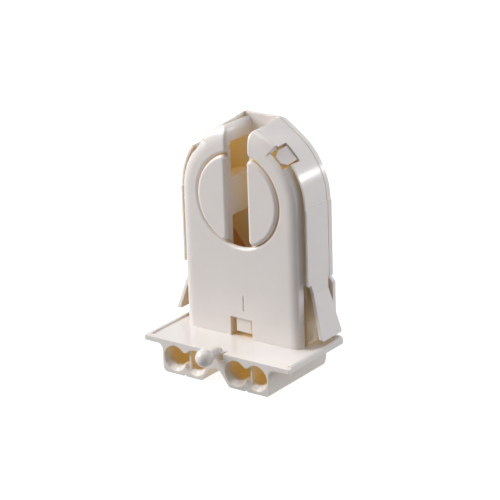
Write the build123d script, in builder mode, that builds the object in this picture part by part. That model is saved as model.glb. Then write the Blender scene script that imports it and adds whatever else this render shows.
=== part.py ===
from build123d import *
from math import acos, atan2, cos, degrees, hypot, radians, sin, sqrt
import os

os.makedirs("parts", exist_ok=True)

# Rotary-lock holder for a two-pin fluorescent tube, in millimetres.
# X runs across the holder, Y from its front face to its back, Z up.
# The origin is on the centre plane, at the front face, level with the top of the base flange.

# Lamp interface
lamp_axis_height = 27.0
pin_pitch = 12.7
pin_radius = 1.175
pin_length = 7.6
pin_play = 2.35
slot_width = 2 * pin_radius + pin_play
slot_half = slot_width / 2
slot_depth = pin_length + 0.2

# Fits
running_clearance = 0.05
free_clearance = 0.15
seat_clearance = 0.2

# Front housing
flat_step = 1.9
round_step = 0.2
round_depth = 0.95
panel_step = 1.0
lip_depth = 1.75
panel_thickness = 1.7
edge_wall = 1.4
edge_return = 1.9
side_step = 0.2
side_wall = 1.3
corner_depth = 3.1
groove_rim = 0.35
groove_depth = 0.8
hub_step = 0.7
joint_groove = 0.15
skirt_height = 12.2
shoulder_angle = 35.0
crown_half = 3.9
crown_front_drop = 0.25
crown_back_rise = 0.4
crown_round = 1.0
mouth_round = 1.55
funnel_wall = 1.3
funnel_depth = 1.9

# Latch windows in the arch
window_start_angle = 36.0
window_end_angle = 53.3
window_front = 0.5
window_back = 4.3

# Latch window and centre mark in the front panel
front_window_width = 5.0
front_window_height = 3.8
mark_width = 0.25
mark_depth = 0.15
mark_x = 0.6
mark_bottom = 5.4
mark_top = 8.4

# Spring clips on the housing
clip_root_rise = 1.4
clip_root_front = 2.7
clip_crease_drop = 2.0
clip_foot_height = 1.8
clip_foot_reach = 16.75
clip_thickness = 0.7
clip_crease_front = 3.45
clip_crease_back = 8.2
clip_foot_front = 2.2
clip_foot_back = 8.7
foot_round = 0.5

# Rotor
rotor_radius = 9.0
recess_radius = rotor_radius + free_clearance
recess_round = 0.6
recess_corner = 0.8
rebate_depth = 0.85
rotor_proud = 0.35
rotor_edge_round = 0.7
rotor_corner = 1.0
retainer_lip = 1.0
retainer_room = 1.35
retainer_front = 1.0
retainer_back = 1.6
post_half_height = 3.65
post_half_width = 5.2
hub_radius = 4.0
hub_thickness = 1.4

# Back wall and upright core of the base
back_wall = 1.3
ear_step = 0.5
ear_height = 11.0
ear_slope = 1.4
ear_thickness = 0.9
core_gap = 0.3
core_wall = 1.3
core_front = 3.3
core_drop = 5.0
pocket_depth = 0.9

# Latch arms and teeth behind the arch windows
arm_thickness = 1.15
arm_front = 2.5
tooth_front = 0.95
tooth_shoulder = 1.9
tooth_nose_half = 0.75
tooth_nose_rise = 1.3
tooth_rise = 2.35
tooth_play = 0.15
tooth_sink = 0.35

# Latch tongue behind the front window
tongue_half = 1.85
tongue_shift = 0.2
tongue_top = 3.65
tongue_bottom = 0.95
tongue_front = 0.45
tongue_back = 3.2
tongue_round = 0.4

# Base flange
foot_overhang = 0.3
flange_front = -8.4
flange_thickness = 0.95
flange_overhang = 0.5
flange_corner = 1.3
bead_radius = 0.62
bead_rise = 0.3
bead_start = 1.1

# Terminal blocks under the flange
block_half = 12.1
block_shift = -0.2
block_drop = 6.4
block_web = 1.2
block_round = 1.1
block_corner = 0.5
tunnel_half = 3.1
tunnel_top = 3.4
tunnel_top_half = 1.0
tunnel_round = 1.1
notch_depth = 0.35
notch_round = 0.1
block_end_round = 1.6

# Wire entries, in two pairs of the same order
pair_pitch = 14.0
entry_drop = 2.9
first_entry = -2.25
second_entry = 2.3
entry_radius = 2.1
entry_depth = 5.5
mouth_drop = 3.35
mouth_radius = 2.5
mouth_depth = 1.1
partition_left = 0.7
partition = 0.4
partition_back_set = 0.6
partition_bottom = 5.0
release_top = 1.75
release_bottom = 4.1
conductor_radius = 1.25
conductor_length = 2.5
chamber_inner_wall = 0.7
chamber_outer_wall = 1.0
chamber_drop = 5.4

# Contact strips
strip = 0.35
strip_front = 4.1
strip_bend = 0.8
riser_x = 4.1
riser_drop = 13.4
spring_x = 8.0
spring_drop = 8.6
preload = 0.25
spring_rise = 6.5
plate_front = -0.2

# Wire clamp springs
leaf = 0.3
leaf_bend = 0.55
leaf_front = 0.2
leaf_gap = 1.1
leaf_tip_depth = 4.2
leaf_tip_gap = 0.5
leaf_split = 1.0

# Locating nib on the front edge of the flange, between two short slits
nib_radius = 1.72
nib_reach = 5.05
nib_neck_radius = 1.05
nib_root = 1.6
nib_root_radius = 0.4
slit_near = 1.1
slit_far = 1.8
slit_tip = 1.9
slit_length = 1.75
slit_depth = 1.4

lamp_axis = Axis((0, 0, lamp_axis_height), (0, -1, 0))
clip_root_height = skirt_height + clip_root_rise
clip_crease_height = skirt_height - clip_crease_drop
flange_half = clip_foot_reach - foot_overhang
pair_centres = [block_shift - pair_pitch / 2, block_shift + pair_pitch / 2]
entry_centres = [pair + entry for pair in pair_centres for entry in (first_entry, second_entry)]
parting_depth = slot_depth + hub_step
back_depth = parting_depth + back_wall
flange_back = back_depth + flange_overhang
leaf_back = parting_depth - leaf_gap
retainer_radius = rotor_radius + retainer_lip
arm_inner = retainer_radius + retainer_room
arm_outer = arm_inner + arm_thickness
shell_inner = arm_outer + seat_clearance
arch_radius = shell_inner + side_wall
side_half = arch_radius + side_step
panel_half = arch_radius - panel_step
round_half = panel_half - round_step
flat_half = round_half - flat_step
funnel_inner_radius = shell_inner - funnel_depth
crown_front_height = arch_radius - crown_front_drop
crown_back_height = arch_radius + crown_back_rise
ear_half = side_half + ear_step
core_half = side_half - side_wall - core_gap
window_floor_radius = arm_inner - seat_clearance
window_middle = (window_start_angle + window_end_angle) / 2
tooth_foot = arm_inner + tooth_sink
tooth_half = radians(window_end_angle - window_start_angle) / 2 * tooth_foot - tooth_play
arm_start_angle = window_middle - degrees(tooth_half / arm_inner)
arm_end_angle = window_middle + degrees(tooth_half / arm_inner)
tooth_back = window_back - tooth_play
mouth_half = slot_half + mouth_round
mouth_height = lamp_axis_height + crown_front_height
crown_top = lamp_axis_height + crown_back_height
core_height = lamp_axis_height - core_drop
riser_top = lamp_axis_height - riser_drop
spring_foot = lamp_axis_height - spring_drop
spring_tip = lamp_axis_height + spring_rise
hub_front = slot_depth
conductor_front = flange_front + entry_depth
chamber_front = conductor_front + conductor_length
chamber_inner = tunnel_half + chamber_inner_wall
chamber_outer = block_half - chamber_outer_wall
plate_height = -flange_thickness - strip / 2
pin_side = pin_pitch / 2 + pin_radius - preload + strip / 2


def facing(depth):
    """Plane seen from the front, at a depth behind the front face."""
    return Plane.XZ.offset(-depth)


def radial(angle):
    """Plane through the lamp axis, pointing outward at an angle from the top."""
    outward = (sin(radians(angle)), 0, cos(radians(angle)))
    across = (-cos(radians(angle)), 0, sin(radians(angle)))
    return Plane(origin=(0, 0, lamp_axis_height), x_dir=outward, z_dir=across)


def tangential(angle):
    """Plane on the lamp axis that faces outward at an angle from the top."""
    outward = (sin(radians(angle)), 0, cos(radians(angle)))
    across = (cos(radians(angle)), 0, -sin(radians(angle)))
    return Plane(origin=(0, 0, lamp_axis_height), x_dir=across, z_dir=outward)


def on_arch(radius, angle):
    """Point at a radius from the lamp axis, at an angle from the top."""
    return (radius * sin(radians(angle)), lamp_axis_height + radius * cos(radians(angle)))


def panel_section():
    """Half section of the raised front panel with its rounded edge."""
    with BuildSketch() as section:
        with BuildLine():
            Line((0, 0), (flat_half, 0))
            EllipticalCenterArc(
                (flat_half, round_depth), round_half - flat_half, round_depth, -90
            )
            Polyline(
                (round_half, round_depth),
                (panel_half, lip_depth),
                (panel_half, edge_return),
                (panel_half - edge_wall, edge_return),
                (panel_half - edge_wall, panel_thickness),
                (0, panel_thickness),
                (0, 0),
            )
        make_face()
    return section.sketch


def wall_section(outer):
    """Half section of the side wall and the groove before it, for an outer radius or width."""
    with BuildSketch() as section:
        with BuildLine():
            Polyline(
                (panel_half - edge_wall, lip_depth),
                (panel_half, lip_depth),
                (panel_half, lip_depth + groove_depth),
                (outer - groove_rim, lip_depth + groove_depth),
                (outer - groove_rim, lip_depth),
                (outer, lip_depth),
                (outer, parting_depth),
                (outer - side_wall, parting_depth),
                (outer - side_wall, corner_depth),
                (panel_half - edge_wall, corner_depth),
                close=True,
            )
        make_face()
    return section.sketch


def shoulder_section():
    """Section of the fuller rounding beside the slot mouth, which fills the groove."""
    with BuildSketch() as section:
        with BuildLine():
            EllipticalCenterArc((flat_half, lip_depth), arch_radius - flat_half, lip_depth, -90)
            Polyline(
                (arch_radius, lip_depth),
                (arch_radius, corner_depth),
                (panel_half - edge_wall, corner_depth),
                (flat_half, 0),
            )
        make_face()
    return section.sketch


def arch_sector(inner, outer, start, end):
    """Sector between two radii and two angles from the top, on the right-hand side."""
    with BuildSketch() as sector:
        with BuildLine():
            Line(on_arch(inner, start), on_arch(outer, start))
            ThreePointArc(
                on_arch(outer, start), on_arch(outer, (start + end) / 2), on_arch(outer, end)
            )
            Line(on_arch(outer, end), on_arch(inner, end))
            ThreePointArc(
                on_arch(inner, end), on_arch(inner, (start + end) / 2), on_arch(inner, start)
            )
        make_face()
    return sector.sketch


def tangent_angle(height):
    """Angle from the top at which a line from the crown's corner touches the arch."""
    return degrees(atan2(crown_half, height) + acos(arch_radius / hypot(crown_half, height)))


def crown_wedge(side, height):
    """Section of the material between the arch and one corner of the crown."""
    middle = (arch_radius + shell_inner) / 2
    touch = tangent_angle(height)
    outer_x, outer_z = on_arch(arch_radius, touch)
    inner_x, inner_z = on_arch(middle, touch)
    with BuildSketch() as wedge:
        with BuildLine():
            Polyline(
                (side * crown_half, lamp_axis_height + height),
                (side * outer_x, outer_z),
                (side * inner_x, inner_z),
                (side * crown_half, lamp_axis_height + sqrt(middle**2 - crown_half**2)),
                close=True,
            )
        make_face()
    return wedge.sketch


def wall_outline():
    """Outline of the back wall, with the flat crown on top of the arch."""
    touch_x, touch_z = on_arch(arch_radius, tangent_angle(crown_back_height))
    with BuildSketch() as outline:
        with Locations((0, lamp_axis_height)):
            Circle(arch_radius)
            Rectangle(
                2 * side_half, lamp_axis_height - skirt_height, align=(Align.CENTER, Align.MAX)
            )
        Rectangle(2 * core_half, skirt_height, align=(Align.CENTER, Align.MIN))
        with BuildLine():
            Polyline(
                (0, lamp_axis_height),
                (touch_x, touch_z),
                (crown_half, crown_top),
                (-crown_half, crown_top),
                (-touch_x, touch_z),
                close=True,
            )
        make_face()
    return outline.sketch


# Spring clip: a thin bent arm, trimmed to a flare seen from the side
with BuildPart() as clip:
    with BuildSketch(facing(clip_foot_front)):
        with BuildLine():
            Polyline(
                (side_half - clip_thickness, clip_root_height),
                (side_half, clip_root_height),
                (side_half, clip_crease_height),
                (clip_foot_reach, clip_foot_height),
                (clip_foot_reach - clip_thickness, clip_foot_height),
                (side_half - clip_thickness, clip_crease_height),
                close=True,
            )
        make_face()
    extrude(amount=-(clip_foot_back - clip_foot_front))
    with BuildSketch(Plane.YZ) as flare:
        with BuildLine():
            Polyline(
                (clip_root_front, clip_root_height),
                (clip_crease_back, clip_root_height),
                (clip_crease_back, clip_crease_height),
                (clip_foot_back, clip_foot_height),
                (clip_foot_front, clip_foot_height),
                (clip_crease_front, clip_crease_height),
                (clip_root_front, skirt_height),
                close=True,
            )
        make_face()
        fillet(flare.vertices().group_by(Axis.Y)[0], foot_round)
    extrude(amount=clip_foot_reach, mode=Mode.INTERSECT)

# Front housing
with BuildPart() as front_housing:
    with BuildSketch(radial(90)):
        add(panel_section())
        add(wall_section(arch_radius))
    revolve(axis=lamp_axis, revolution_arc=180)
    with BuildSketch(radial(90)):
        add(panel_section())
        add(wall_section(side_half))
        mirror(about=Plane.YZ)
    extrude(amount=-(lamp_axis_height - skirt_height))
    with BuildSketch(Plane.XY.offset(skirt_height)):
        add(panel_section())
        mirror(about=Plane.YZ)
    extrude(amount=-skirt_height)

    # Fuller shoulders on both sides of the slot mouth
    with BuildSketch(radial(shoulder_angle)):
        add(shoulder_section())
    revolve(axis=lamp_axis, revolution_arc=2 * shoulder_angle)

    # Funnel walls that close the sides of the slot behind the arch
    with BuildSketch(facing(lip_depth)):
        with Locations((0, lamp_axis_height)):
            Circle(shell_inner + side_wall / 2)
            Rectangle(
                2 * (slot_half + funnel_wall),
                arch_radius,
                align=(Align.CENTER, Align.MIN),
                mode=Mode.INTERSECT,
            )
            Circle(funnel_inner_radius, mode=Mode.SUBTRACT)
    extrude(amount=-(parting_depth - lip_depth))

    # Corners of the crown, growing toward the back
    for side in (-1, 1):
        with BuildSketch(facing(lip_depth)):
            add(crown_wedge(side, crown_front_height))
        with BuildSketch(facing(parting_depth)):
            add(crown_wedge(side, crown_back_height))
        loft()

    # Slot for the lamp pins, with a flared mouth
    with BuildSketch(facing(0)):
        with BuildLine():
            Polyline(
                (0, lamp_axis_height),
                (slot_half, lamp_axis_height),
                (slot_half, mouth_height - mouth_round),
            )
            TangentArc(
                (slot_half, mouth_height - mouth_round),
                (mouth_half, mouth_height),
                tangent=(0, 1),
            )
            Polyline(
                (mouth_half, mouth_height),
                (mouth_half, lamp_axis_height + 2 * arch_radius),
                (0, lamp_axis_height + 2 * arch_radius),
                (0, lamp_axis_height),
            )
        make_face()
        mirror(about=Plane.YZ)
    extrude(amount=-parting_depth, mode=Mode.SUBTRACT)

    # Round opening for the rotor, with a rounded rim and a rebate behind it
    with BuildSketch(facing(0)) as opening:
        with Locations((0, lamp_axis_height)):
            Circle(recess_radius)
            Rectangle(slot_width, retainer_radius, align=(Align.CENTER, Align.MIN))
        fillet(
            opening.vertices().filter_by_position(
                Axis.Y, lamp_axis_height, lamp_axis_height + recess_radius
            ),
            recess_corner,
        )
    extrude(amount=-panel_thickness, mode=Mode.SUBTRACT)
    with BuildSketch(facing(rebate_depth)):
        with Locations((0, lamp_axis_height)):
            Circle(retainer_radius + seat_clearance)
    extrude(amount=rebate_depth - panel_thickness, mode=Mode.SUBTRACT)
    rim = front_housing.edges().filter_by(GeomType.CIRCLE)
    rim = rim.filter_by(lambda edge: abs(edge.radius - recess_radius) < free_clearance)
    fillet(rim.group_by(Axis.Y)[0], recess_round)

    # Windows for the latch teeth in the arch and for the latch tongue in the panel
    with BuildSketch(facing(window_front)):
        add(arch_sector(window_floor_radius, 2 * arch_radius, window_start_angle, window_end_angle))
        mirror(about=Plane.YZ)
    extrude(amount=-(window_back - window_front), mode=Mode.SUBTRACT)
    with BuildSketch(facing(0)):
        Rectangle(front_window_width, front_window_height, align=(Align.CENTER, Align.MIN))
    extrude(amount=-edge_return, mode=Mode.SUBTRACT)
    with BuildSketch(facing(0)):
        with Locations((mark_x, mark_bottom)):
            Rectangle(mark_width, mark_top - mark_bottom, align=(Align.CENTER, Align.MIN))
    extrude(amount=-mark_depth, mode=Mode.SUBTRACT)

    # Spring clips on both sides
    add(clip.part)
    mirror(clip.part, about=Plane.YZ)

# Rotor: a slotted disc in front, a collar behind the rim, two posts and a hub
with BuildPart() as rotor:
    with BuildSketch(facing(-rotor_proud)) as disc:
        with Locations((0, lamp_axis_height)):
            Circle(rotor_radius)
            Rectangle(slot_width, 2 * rotor_radius, mode=Mode.SUBTRACT)
        fillet(disc.vertices(), rotor_corner)
    extrude(amount=-(rotor_proud + retainer_back))
    with BuildSketch(facing(retainer_front)):
        with Locations((0, lamp_axis_height)):
            Circle(retainer_radius)
    extrude(amount=retainer_front - retainer_back)
    with BuildSketch(facing(retainer_back)):
        with Locations((0, lamp_axis_height)):
            Rectangle(2 * post_half_width, 2 * post_half_height)
    extrude(amount=retainer_back - hub_front)
    with BuildSketch(facing(hub_front)):
        with Locations((0, lamp_axis_height)):
            Circle(hub_radius)
    extrude(amount=-hub_thickness)
    with BuildSketch(facing(-rotor_proud)):
        with Locations((0, lamp_axis_height)):
            Rectangle(slot_width, 2 * retainer_radius)
    extrude(amount=-(rotor_proud + slot_depth), mode=Mode.SUBTRACT)
    fillet(rotor.faces().group_by(Axis.Y)[0].edges(), rotor_edge_round)

# Latch tooth: a ramp with its front corners cut off, drawn at the middle of its window
with BuildPart() as tooth:
    with BuildSketch(radial(window_middle).offset(-tooth_half)):
        with BuildLine():
            Polyline(
                (tooth_foot, tooth_front),
                (arm_inner + tooth_nose_rise, tooth_front),
                (arm_inner + tooth_rise, tooth_back),
                (tooth_foot, tooth_back),
                close=True,
            )
        make_face()
    extrude(amount=2 * tooth_half)
    with BuildSketch(tangential(window_middle)):
        with BuildLine():
            Polyline(
                (-tooth_half, tooth_back),
                (-tooth_half, tooth_shoulder),
                (-tooth_nose_half, tooth_front),
                (tooth_nose_half, tooth_front),
                (tooth_half, tooth_shoulder),
                (tooth_half, tooth_back),
                close=True,
            )
        make_face()
    extrude(amount=arch_radius, mode=Mode.INTERSECT)

# Base: back wall, upright core, flange and terminal blocks in one moulding
with BuildPart() as base:
    with BuildSketch(facing(parting_depth + joint_groove)):
        add(wall_outline())
    extrude(amount=-(back_depth - parting_depth - joint_groove))
    with BuildSketch(facing(parting_depth)):
        add(wall_outline())
        offset(amount=-joint_groove, mode=Mode.REPLACE)
    extrude(amount=-joint_groove)
    with BuildSketch(Plane.YZ):
        with BuildLine():
            Polyline(
                (back_depth, crown_top - crown_round),
                (back_depth, crown_top),
                (back_depth - crown_round, crown_top),
            )
            TangentArc(
                (back_depth - crown_round, crown_top),
                (back_depth, crown_top - crown_round),
                tangent=(1, 0),
            )
        make_face()
    extrude(amount=arch_radius, both=True, mode=Mode.SUBTRACT)
    with BuildSketch(facing(back_depth - ear_thickness)):
        with BuildLine():
            Polyline(
                (0, 0),
                (ear_half, 0),
                (ear_half, ear_height),
                (ear_half - ear_slope, ear_height + ear_slope),
                (0, ear_height + ear_slope),
                (0, 0),
            )
        make_face()
        mirror(about=Plane.YZ)
    extrude(amount=-ear_thickness)
    with BuildSketch(facing(core_front)):
        with Locations((core_half, 0)):
            Rectangle(core_wall, core_height, align=(Align.MAX, Align.MIN))
        mirror(about=Plane.YZ)
    extrude(amount=-(parting_depth - core_front))

    # Latch arms along the arch, each with a tooth in its window
    with BuildSketch(facing(arm_front)):
        add(arch_sector(arm_inner, arm_outer, arm_start_angle, arm_end_angle))
        mirror(about=Plane.YZ)
    extrude(amount=-(parting_depth - arm_front))
    add(tooth.part)
    mirror(tooth.part, about=Plane.YZ)

    # Latch tongue behind the front window
    with BuildSketch(facing(tongue_front)):
        with Locations((tongue_shift, tongue_bottom)):
            Rectangle(
                2 * tongue_half, tongue_top - tongue_bottom, align=(Align.CENTER, Align.MIN)
            )
    extrude(amount=-(tongue_back - tongue_front))
    fillet(base.faces().group_by(Axis.Y)[0].edges().filter_by(Axis.Z), tongue_round)
    with BuildSketch(facing(panel_thickness + seat_clearance)):
        with Locations((tongue_shift, 0)):
            Rectangle(2 * tongue_half, tongue_top, align=(Align.CENTER, Align.MIN))
    extrude(amount=-(tongue_back - panel_thickness - seat_clearance))

    # Flange with a bead along each side, turned round the back corners
    with BuildSketch():
        with Locations((0, flange_front)):
            plate = Rectangle(
                2 * flange_half, flange_back - flange_front, align=(Align.CENTER, Align.MIN)
            )
        fillet(plate.vertices().group_by(Axis.Y)[-1], flange_corner)
    extrude(amount=-flange_thickness)
    bead_half = flange_half - bead_radius
    bead_height = bead_rise - bead_radius
    for side in (-1, 1):
        with BuildLine(Plane.XY.offset(bead_height)) as bead_path:
            FilletPolyline(
                (side * bead_half, flange_front + bead_start),
                (side * bead_half, flange_back - bead_radius),
                (side * ear_half, flange_back - bead_radius),
                radius=flange_corner - bead_radius,
            )
        with BuildSketch(facing(flange_front + bead_start)):
            with Locations((side * bead_half, bead_height)):
                Circle(bead_radius)
        sweep(path=bead_path.line)

    # Terminal blocks with the tunnel between them and a notch under each pair
    left_notch, right_notch = [pair - block_shift for pair in pair_centres]
    block_plane = Plane(origin=(block_shift, flange_front, 0), x_dir=(1, 0, 0), z_dir=(0, -1, 0))
    with BuildSketch(block_plane):
        with BuildLine():
            outline = FilletPolyline(
                (-block_half - 2 * block_web, -flange_thickness),
                (-block_half, -flange_thickness),
                (-block_half, -block_drop),
                (left_notch - notch_depth, -block_drop),
                (left_notch, notch_depth - block_drop),
                (left_notch + notch_depth, -block_drop),
                (-tunnel_half, -block_drop),
                (-tunnel_top_half, -tunnel_top),
                (tunnel_top_half, -tunnel_top),
                (tunnel_half, -block_drop),
                (right_notch - notch_depth, -block_drop),
                (right_notch, notch_depth - block_drop),
                (right_notch + notch_depth, -block_drop),
                (block_half, -block_drop),
                (block_half, -flange_thickness),
                (block_half + 2 * block_web, -flange_thickness),
                radius=[
                    block_web,
                    block_round,
                    notch_round,
                    notch_round,
                    notch_round,
                    block_corner,
                    tunnel_round,
                    tunnel_round,
                    block_corner,
                    notch_round,
                    notch_round,
                    notch_round,
                    block_corner,
                    block_web,
                ],
            )
            Polyline(
                outline @ 1,
                (block_half + 2 * block_web, -flange_thickness / 2),
                (-block_half - 2 * block_web, -flange_thickness / 2),
                outline @ 0,
            )
        make_face()
    extrude(amount=flange_front - flange_back)

    # Rounded lower back edge of the blocks
    with BuildSketch(Plane.YZ):
        with BuildLine():
            Polyline(
                (flange_back - block_end_round, -block_drop),
                (flange_back, -block_drop),
                (flange_back, block_end_round - block_drop),
            )
            TangentArc(
                (flange_back, block_end_round - block_drop),
                (flange_back - block_end_round, -block_drop),
                tangent=(0, -1),
            )
        make_face()
    extrude(amount=flange_half, both=True, mode=Mode.SUBTRACT)

    # Locating nib: a ball on a neck that fades into the flange, between two slits
    nib_tip = flange_front - nib_reach
    ball_end = nib_tip + nib_radius + sqrt(nib_radius**2 - nib_neck_radius**2)
    with BuildSketch():
        with BuildLine():
            Line((0, flange_front + nib_root), (0, nib_tip))
            ThreePointArc(
                (0, nib_tip), (nib_radius, nib_tip + nib_radius), (nib_neck_radius, ball_end)
            )
            Polyline(
                (nib_neck_radius, ball_end),
                (nib_neck_radius, flange_front),
                (nib_root_radius, flange_front + nib_root),
                (0, flange_front + nib_root),
            )
        make_face()
    revolve(axis=Axis.Y)
    with BuildSketch():
        with BuildLine():
            Polyline(
                (slit_near, flange_front),
                (slit_far, flange_front),
                (slit_tip, flange_front + slit_length),
                close=True,
            )
        make_face()
        mirror(about=Plane.YZ)
    extrude(amount=-slit_depth, mode=Mode.SUBTRACT)

    # Bearing pocket for the hub of the rotor
    with BuildSketch(facing(parting_depth)):
        with Locations((0, lamp_axis_height)):
            Circle(hub_radius + running_clearance)
    extrude(amount=-pocket_depth, mode=Mode.SUBTRACT)

    # Wire entries: a flared mouth, with a release slot beside the first of each pair
    with BuildSketch(facing(flange_front)):
        with Locations([(entry, -entry_drop) for entry in entry_centres]):
            Circle(entry_radius)
        for pair in pair_centres:
            with Locations((pair + partition_left, -flange_thickness)):
                Rectangle(
                    partition,
                    release_bottom - flange_thickness,
                    align=(Align.MIN, Align.MAX),
                    mode=Mode.SUBTRACT,
                )
            with Locations((pair + partition_left, -release_top)):
                Rectangle(
                    partition_left - first_entry,
                    release_bottom - release_top,
                    align=(Align.MAX, Align.MAX),
                )
    extrude(amount=-entry_depth, mode=Mode.SUBTRACT)
    with BuildSketch(facing(conductor_front)):
        with Locations([(entry, -entry_drop) for entry in entry_centres]):
            Circle(conductor_radius)
    extrude(amount=-conductor_length, mode=Mode.SUBTRACT)
    for entry in entry_centres:
        with BuildSketch(facing(flange_front)):
            with Locations((entry, -mouth_drop)):
                Circle(mouth_radius)
        with BuildSketch(facing(flange_front + mouth_depth)):
            with Locations((entry, -entry_drop)):
                Circle(entry_radius)
        loft(mode=Mode.SUBTRACT)
    with BuildSketch(facing(flange_front + partition_back_set)):
        with Locations([(pair + partition_left, -flange_thickness) for pair in pair_centres]):
            Rectangle(
                partition, partition_bottom - flange_thickness, align=(Align.MIN, Align.MAX)
            )
    extrude(amount=partition_back_set - mouth_depth)

    # Contact chambers in the blocks, open to the core behind the housing
    with BuildSketch(facing(chamber_front)):
        with Locations((chamber_inner, -flange_thickness)):
            Rectangle(
                chamber_outer - chamber_inner,
                chamber_drop - flange_thickness,
                align=(Align.MIN, Align.MAX),
            )
        mirror(about=Plane.YZ)
    extrude(amount=chamber_front - parting_depth, mode=Mode.SUBTRACT)
    with BuildSketch():
        with Locations((chamber_inner, core_front)):
            Rectangle(
                chamber_outer - chamber_inner,
                parting_depth - core_front,
                align=(Align.MIN, Align.MIN),
            )
        mirror(about=Plane.YZ)
    extrude(amount=-flange_thickness, mode=Mode.SUBTRACT)

# Contacts: one bronze strip each, from the terminal plate up to the lamp pin
contacts = []
for name, side in (("contact_left", -1), ("contact_right", 1)):
    with BuildPart() as contact:
        with BuildSketch(facing(strip_front)):
            with BuildLine():
                FilletPolyline(
                    (side * (chamber_outer - seat_clearance), plate_height),
                    (side * riser_x, plate_height),
                    (side * riser_x, riser_top),
                    (side * spring_x, spring_foot),
                    (side * pin_side, lamp_axis_height),
                    (side * spring_x, spring_tip),
                    radius=strip_bend,
                )
            trace(line_width=strip)
        extrude(amount=strip_front - parting_depth)
        with BuildSketch(Plane.XY.offset(-flange_thickness)):
            with Locations((side * (riser_x + chamber_outer) / 2, plate_front)):
                Rectangle(
                    chamber_outer - riser_x - 2 * seat_clearance - 2 * strip_bend,
                    parting_depth - plate_front,
                    align=(Align.CENTER, Align.MIN),
                )
        extrude(amount=-strip)
    contact.part.label = name
    contacts.append(contact.part)

# Clamp springs: a steel strip on the floor of each chamber, with a leaf for each wire
clamps = []
leaf_floor = leaf / 2 - chamber_drop
leaf_tip_height = -flange_thickness - strip - leaf_tip_gap - leaf / 2
for name, side, pair in zip(("wire_clamp_left", "wire_clamp_right"), (-1, 1), pair_centres):
    with BuildPart() as clamp:
        with BuildSketch(Plane.YZ.offset(side * (chamber_inner + seat_clearance))):
            with BuildLine():
                FilletPolyline(
                    (leaf_back, leaf_floor),
                    (leaf_front, leaf_floor),
                    (leaf_tip_depth, leaf_tip_height),
                    radius=leaf_bend,
                )
            trace(line_width=leaf)
        extrude(amount=side * (chamber_outer - chamber_inner - 2 * seat_clearance))
        with BuildSketch(Plane.XY.offset(leaf - chamber_drop)):
            with Locations((pair, chamber_front)):
                Rectangle(leaf_split, leaf_back - chamber_front, align=(Align.CENTER, Align.MIN))
        extrude(amount=chamber_drop, mode=Mode.SUBTRACT)
    clamp.part.label = name
    clamps.append(clamp.part)

front_housing.part.label = "front_housing"
base.part.label = "base"
rotor.part.label = "rotor"

for piece in (front_housing.part, base.part, rotor.part, *contacts, *clamps):
    export_step(piece, f"parts/{piece.label}.step")
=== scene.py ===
from math import cos, radians, sin

import bpy
from mathutils import Matrix, Vector

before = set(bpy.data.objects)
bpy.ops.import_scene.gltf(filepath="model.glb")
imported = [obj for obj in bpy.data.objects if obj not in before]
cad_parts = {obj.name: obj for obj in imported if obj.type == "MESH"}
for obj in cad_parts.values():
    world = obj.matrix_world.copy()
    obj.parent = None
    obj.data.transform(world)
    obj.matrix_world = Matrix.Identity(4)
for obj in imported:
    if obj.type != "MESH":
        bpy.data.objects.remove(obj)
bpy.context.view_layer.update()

MM = 0.001
WHITE = (1.0, 1.0, 1.0)

# Photograph's view, worked out around the rotor's centre. Lengths are in metres.
VIEW_AZIMUTH = radians(36.6)
VIEW_ELEVATION = radians(19.0)
VIEW_ROLL = radians(-1.96)
VIEW_DISTANCE = 0.46
ROTOR_CENTRE = Vector((0.0, 0.0, 0.027))
FRAME_PIXELS = 500.0
PIXELS_PER_MM = 5.461
CENTRE_RIGHT_PIXELS = 12.76
CENTRE_DOWN_PIXELS = 49.22
SENSOR_MM = 36.0
CLIP_START = 0.01

# Floor and surroundings. A strength of 1 shows as white.
FLOOR_Z = -0.0064
FLOOR_REACH = 1.5
FLOOR_COLOUR = (0.25, 0.25, 0.25)
FLOOR_ROUGHNESS = 0.9
FLOOR_STRENGTH_SEEN = 0.9
FLOOR_STRENGTH_AS_LIGHT = 0.1
FILL_COLOUR = (1.0, 0.95, 0.9)
FILL_STRENGTH = 0.12

# Lamps: name, azimuth and elevation in degrees, distance, side, power, colour, and whether
# glossy surfaces mirror the lamp
COOL_WHITE = (0.9, 0.94, 1.0)
LAMPS = (
    ("softbox_top", -20.0, 80.0, 0.5, 0.35, 0.76, WHITE, True),
    ("softbox_left", -61.0, 31.0, 0.6, 0.35, 3.8, WHITE, True),
    ("softbox_right", 132.0, 22.0, 0.5, 0.3, 1.22, COOL_WHITE, False),
    ("strip_right", 138.0, 13.0, 0.5, 0.05, 0.3, WHITE, True),
)

# Moulded plastic, with a faint clouding, a fine grain and soft edges
PLASTIC_DARKER = (0.80, 0.755, 0.73)
PLASTIC_LIGHTER = (0.84, 0.795, 0.77)
PLASTIC_ROUGHNESS = 0.2
PLASTIC_SPECULAR = 0.5
SCATTER_WEIGHT = 0.35
SCATTER_RADIUS = (1.0, 0.8, 0.55)
SCATTER_SCALE = 0.0004
CLOUD_SCALE = 160.0
CLOUD_DETAIL = 3.0
GRAIN_SCALE = 900.0
GRAIN_DETAIL = 2.0
GRAIN_STRENGTH = 0.12
GRAIN_HEIGHT = 0.0001
EDGE_RADIUS = 0.00015
EDGE_SAMPLES = 4
OCCLUSION_SAMPLES = 8

# Its painted golden shade: how far a gap is looked into, and how open it is where the painted shade
# is full and where it ends
PAINTED_SHADE_COLOUR = (0.82, 0.67, 0.42)
PAINTED_SHADE_REACH = 0.008
PAINTED_SHADE_FULL = 0.08
PAINTED_SHADE_END = 0.46
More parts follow.
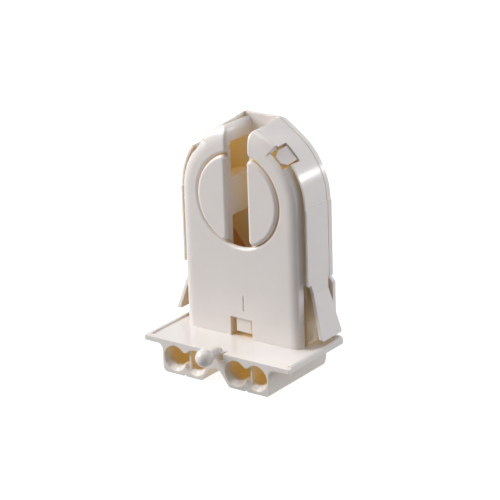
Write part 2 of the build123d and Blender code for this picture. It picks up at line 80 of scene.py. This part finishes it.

# Its painted warm glow, in the same way, then where the painted glow fades out and where it is
# weakest
PAINTED_GLOW_COLOUR = (1.0, 0.62, 0.1)
PAINTED_GLOW_STRENGTH = 0.13
PAINTED_GLOW_REACH = 0.03
PAINTED_GLOW_FULL = 0.02
PAINTED_GLOW_END = 0.28
CORE_REACH = 0.0123
CORE_BLEND = 0.0007
SHARE_OUTSIDE_CORE = 0.1
INSIDE_MIDDLE_Z = 0.012
INSIDE_HALF_HEIGHT = 0.022
SHARE_AT_MIDDLE = 0.15
SHARE_AT_ENDS = 1.15

# Rolled strip metal: its darker lines, and how far its roughness strays
BRONZE = (0.78, 0.46, 0.24)
BRONZE_ROUGHNESS = 0.32
STEEL = (0.62, 0.62, 0.60)
STEEL_ROUGHNESS = 0.35
LINE_SHADE = 0.82
LINE_STRETCH = (1.0, 12.0, 1.0)
LINE_SCALE = 400.0
LINE_DETAIL = 4.0
ROUGHNESS_SPREAD = 0.08


def direction_at(azimuth, elevation):
    """Unit vector away from the object; the azimuth goes from its front, -Y, towards +X."""
    return Vector((
        sin(azimuth) * cos(elevation), -cos(azimuth) * cos(elevation), sin(elevation)
    ))


def make_camera():
    """Camera of the photograph, aimed at the middle of its frame with no shift."""
    back = direction_at(VIEW_AZIMUTH, VIEW_ELEVATION)
    level = Vector((cos(VIEW_AZIMUTH), sin(VIEW_AZIMUTH), 0.0))
    upright = back.cross(level)
    right = cos(VIEW_ROLL) * level + sin(VIEW_ROLL) * upright
    up = -sin(VIEW_ROLL) * level + cos(VIEW_ROLL) * upright
    place = ROTOR_CENTRE + VIEW_DISTANCE * back
    per_pixel = MM / PIXELS_PER_MM
    aim = ROTOR_CENTRE + (CENTRE_RIGHT_PIXELS * right - CENTRE_DOWN_PIXELS * up) * per_pixel
    z_axis = (place - aim).normalized()
    x_axis = up.cross(z_axis).normalized()
    y_axis = z_axis.cross(x_axis)
    data = bpy.data.cameras.new("photo_camera")
    data.sensor_width = SENSOR_MM
    data.lens = PIXELS_PER_MM * VIEW_DISTANCE / MM / FRAME_PIXELS * SENSOR_MM
    data.clip_start = CLIP_START
    camera = bpy.data.objects.new("photo_camera", data)
    axes = Matrix((x_axis, y_axis, z_axis)).transposed()
    camera.matrix_world = Matrix.Translation(place) @ axes.to_4x4()
    bpy.context.scene.collection.objects.link(camera)
    bpy.context.scene.camera = camera


def add_softbox(name, azimuth, elevation, distance, side, power, colour, mirrored):
    """Square area light that looks at the rotor from a direction given in degrees."""
    direction = direction_at(radians(azimuth), radians(elevation))
    data = bpy.data.lights.new(name, "AREA")
    data.shape = "SQUARE"
    data.size = side
    data.energy = power
    data.color = colour
    lamp = bpy.data.objects.new(name, data)
    lamp.location = ROTOR_CENTRE + direction * distance
    lamp.rotation_euler = direction.to_track_quat("Z", "Y").to_euler()
    lamp.visible_glossy = mirrored
    bpy.context.scene.collection.objects.link(lamp)


def opaque(colour):
    """The colour as a colour socket takes it, with full opacity."""
    return (*colour, 1.0)


def new_material(name):
    """A material, its node tree and its shader."""
    material = bpy.data.materials.new(name)
    material.use_nodes = True
    tree = material.node_tree
    return material, tree, tree.nodes["Principled BSDF"]


def set_inputs(tree, node, values):
    """Sets the node's inputs by name or number: a socket is linked, the rest are fixed values."""
    for key, value in values.items():
        if isinstance(value, bpy.types.NodeSocket):
            tree.links.new(value, node.inputs[key])
        else:
            node.inputs[key].default_value = value


def add_node(tree, kind, values):
    """New node with its inputs set."""
    node = tree.nodes.new(kind)
    set_inputs(tree, node, values)
    return node


def calculate(tree, operation, *values):
    """Output of a math node, for values that are sockets or numbers."""
    node = tree.nodes.new("ShaderNodeMath")
    node.operation = operation
    set_inputs(tree, node, dict(enumerate(values)))
    return node.outputs[0]


def ramp(tree, value, start, end, start_value, end_value):
    """Output of a map range node, which takes start to end onto the two values."""
    node = add_node(tree, "ShaderNodeMapRange", {
        "Value": value,
        "From Min": start,
        "From Max": end,
        "To Min": start_value,
        "To Max": end_value,
    })
    return node.outputs["Result"]


def noise(tree, place, scale, detail):
    """Output of a noise texture, from 0 to 1."""
    node = add_node(tree, "ShaderNodeTexNoise", {"Vector": place, "Scale": scale, "Detail": detail})
    return node.outputs["Fac"]


def mix_colours(tree, factor, first, second):
    """Output of a mix node: the first colour at a factor of 0, the second at 1."""
    node = tree.nodes.new("ShaderNodeMix")
    node.data_type = "RGBA"
    set_inputs(tree, node, {"Factor": factor, "A": first, "B": second})
    return node.outputs["Result"]


def openness(tree, reach):
    """Output of an occlusion node: 1 in the open, less where other faces stand within reach."""
    node = add_node(tree, "ShaderNodeAmbientOcclusion", {"Distance": reach})
    node.samples = OCCLUSION_SAMPLES
    return node.outputs["AO"]


def seen_ray(tree):
    """1 for camera rays, mirrored rays and rays through glass, and 0 for the rest."""
    path = tree.nodes.new("ShaderNodeLightPath")
    indirect = calculate(
        tree, "MAXIMUM", path.outputs["Is Glossy Ray"], path.outputs["Is Transmission Ray"]
    )
    return calculate(tree, "MAXIMUM", path.outputs["Is Camera Ray"], indirect)


def painted_glow_share(tree, place):
    """Share of the painted warm glow: a tenth outside the housing's core, least halfway up the
    inside.
    """
    axes = add_node(tree, "ShaderNodeSeparateXYZ", {0: place}).outputs
    rise = calculate(
        tree, "MAXIMUM", calculate(tree, "SUBTRACT", axes["Z"], ROTOR_CENTRE.z), 0.0
    )
    squares = [calculate(tree, "MULTIPLY", value, value) for value in (axes["X"], rise)]
    from_core = calculate(tree, "SQRT", calculate(tree, "ADD", *squares))
    in_core = ramp(tree, from_core, CORE_REACH, CORE_REACH + CORE_BLEND, 1.0, SHARE_OUTSIDE_CORE)
    from_middle = calculate(
        tree, "ABSOLUTE", calculate(tree, "SUBTRACT", axes["Z"], INSIDE_MIDDLE_Z)
    )
    at_height = ramp(
        tree, from_middle, 0.0, INSIDE_HALF_HEIGHT, SHARE_AT_MIDDLE, SHARE_AT_ENDS
    )
    return calculate(tree, "MULTIPLY", in_core, at_height)


def moulded_plastic():
    """Warm white moulded plastic with a painted golden shade where it faces itself closely, and a
    painted warm glow inside.
    """
    material, tree, shader = new_material("moulded_plastic")
    place = tree.nodes.new("ShaderNodeTexCoord").outputs["Object"]

    # Faint clouding, then a painted golden shade in gaps and bores
    cloud = noise(tree, place, CLOUD_SCALE, CLOUD_DETAIL)
    tone = mix_colours(tree, cloud, opaque(PLASTIC_DARKER), opaque(PLASTIC_LIGHTER))
    unshaded = ramp(tree, openness(tree, PAINTED_SHADE_REACH), PAINTED_SHADE_FULL, PAINTED_SHADE_END, 0.0, 1.0)
    colour = mix_colours(tree, unshaded, opaque(PAINTED_SHADE_COLOUR), tone)

    # Painted warm glow in them, standing in for light that comes through the thin walls
    depth = ramp(tree, openness(tree, PAINTED_GLOW_REACH), PAINTED_GLOW_FULL, PAINTED_GLOW_END, PAINTED_GLOW_STRENGTH, 0.0)
    glow = calculate(tree, "MULTIPLY", depth, painted_glow_share(tree, place))

    # Soft moulded edges, and a fine grain
    edge = add_node(tree, "ShaderNodeBevel", {"Radius": EDGE_RADIUS})
    edge.samples = EDGE_SAMPLES
    bump = add_node(tree, "ShaderNodeBump", {
        "Strength": GRAIN_STRENGTH,
        "Distance": GRAIN_HEIGHT,
        "Height": noise(tree, place, GRAIN_SCALE, GRAIN_DETAIL),
        "Normal": edge.outputs["Normal"],
    })

    shader.subsurface_method = "RANDOM_WALK"
    set_inputs(tree, shader, {
        "Base Color": colour,
        "Roughness": PLASTIC_ROUGHNESS,
        "Specular IOR Level": PLASTIC_SPECULAR,
        "Subsurface Weight": SCATTER_WEIGHT,
        "Subsurface Radius": SCATTER_RADIUS,
        "Subsurface Scale": SCATTER_SCALE,
        "Emission Color": opaque(PAINTED_GLOW_COLOUR),
        "Emission Strength": glow,
        "Normal": bump.outputs["Normal"],
    })
    return material


def rolled_metal(name, colour, roughness):
    """Strip metal with fine lines from rolling."""
    material, tree, shader = new_material(name)
    place = tree.nodes.new("ShaderNodeTexCoord").outputs["Object"]
    stretched = add_node(tree, "ShaderNodeMapping", {"Vector": place, "Scale": LINE_STRETCH})
    lines = noise(tree, stretched.outputs["Vector"], LINE_SCALE, LINE_DETAIL)
    darker = [LINE_SHADE * channel for channel in colour]
    set_inputs(tree, shader, {
        "Base Color": mix_colours(tree, lines, opaque(darker), opaque(colour)),
        "Metallic": 1.0,
        "Roughness": ramp(
            tree, lines, 0.0, 1.0, roughness - ROUGHNESS_SPREAD, roughness + ROUGHNESS_SPREAD
        ),
    })
    return material


def assign(material, *names):
    """Gives the material to CAD nodes by their names."""
    for name in names:
        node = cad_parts[name]
        node.data.materials.clear()
        node.data.materials.append(material)


def make_floor():
    """Plain floor that shows as white and keeps the soft shadow."""
    ends = (-FLOOR_REACH, FLOOR_REACH)
    corners = [(x, y, FLOOR_Z) for y in ends for x in ends]
    mesh = bpy.data.meshes.new("floor")
    mesh.from_pydata(corners, [], [(0, 1, 3, 2)])
    floor = bpy.data.objects.new("floor", mesh)
    bpy.context.scene.collection.objects.link(floor)
    material, tree, shader = new_material("floor")
    set_inputs(tree, shader, {
        "Base Color": opaque(FLOOR_COLOUR),
        "Roughness": FLOOR_ROUGHNESS,
        "Specular IOR Level": 0.0,
        "Emission Color": opaque(WHITE),
        "Emission Strength": ramp(
            tree, seen_ray(tree), 0.0, 1.0, FLOOR_STRENGTH_AS_LIGHT, FLOOR_STRENGTH_SEEN
        ),
    })
    mesh.materials.append(material)


def make_world():
    """White surroundings, with a dimmer warm fill as the light on the object."""
    world = bpy.data.worlds.new("studio")
    bpy.context.scene.world = world
    world.use_nodes = True
    tree = world.node_tree
    backdrop = tree.nodes["Background"]
    set_inputs(tree, backdrop, {"Color": opaque(WHITE), "Strength": 1.0})
    fill = add_node(tree, "ShaderNodeBackground", {
        "Color": opaque(FILL_COLOUR),
        "Strength": FILL_STRENGTH,
    })
    chosen = add_node(tree, "ShaderNodeMixShader", {
        0: seen_ray(tree),
        1: fill.outputs[0],
        2: backdrop.outputs[0],
    })
    set_inputs(tree, tree.nodes["World Output"], {"Surface": chosen.outputs[0]})


bpy.context.scene.view_settings.view_transform = "Standard"
make_camera()
make_world()
make_floor()
for lamp in LAMPS:
    add_softbox(*lamp)

assign(moulded_plastic(), "front_housing", "base", "rotor")
assign(rolled_metal("bronze_strip", BRONZE, BRONZE_ROUGHNESS), "contact_left", "contact_right")
assign(rolled_metal("spring_steel", STEEL, STEEL_ROUGHNESS), "wire_clamp_left", "wire_clamp_right")
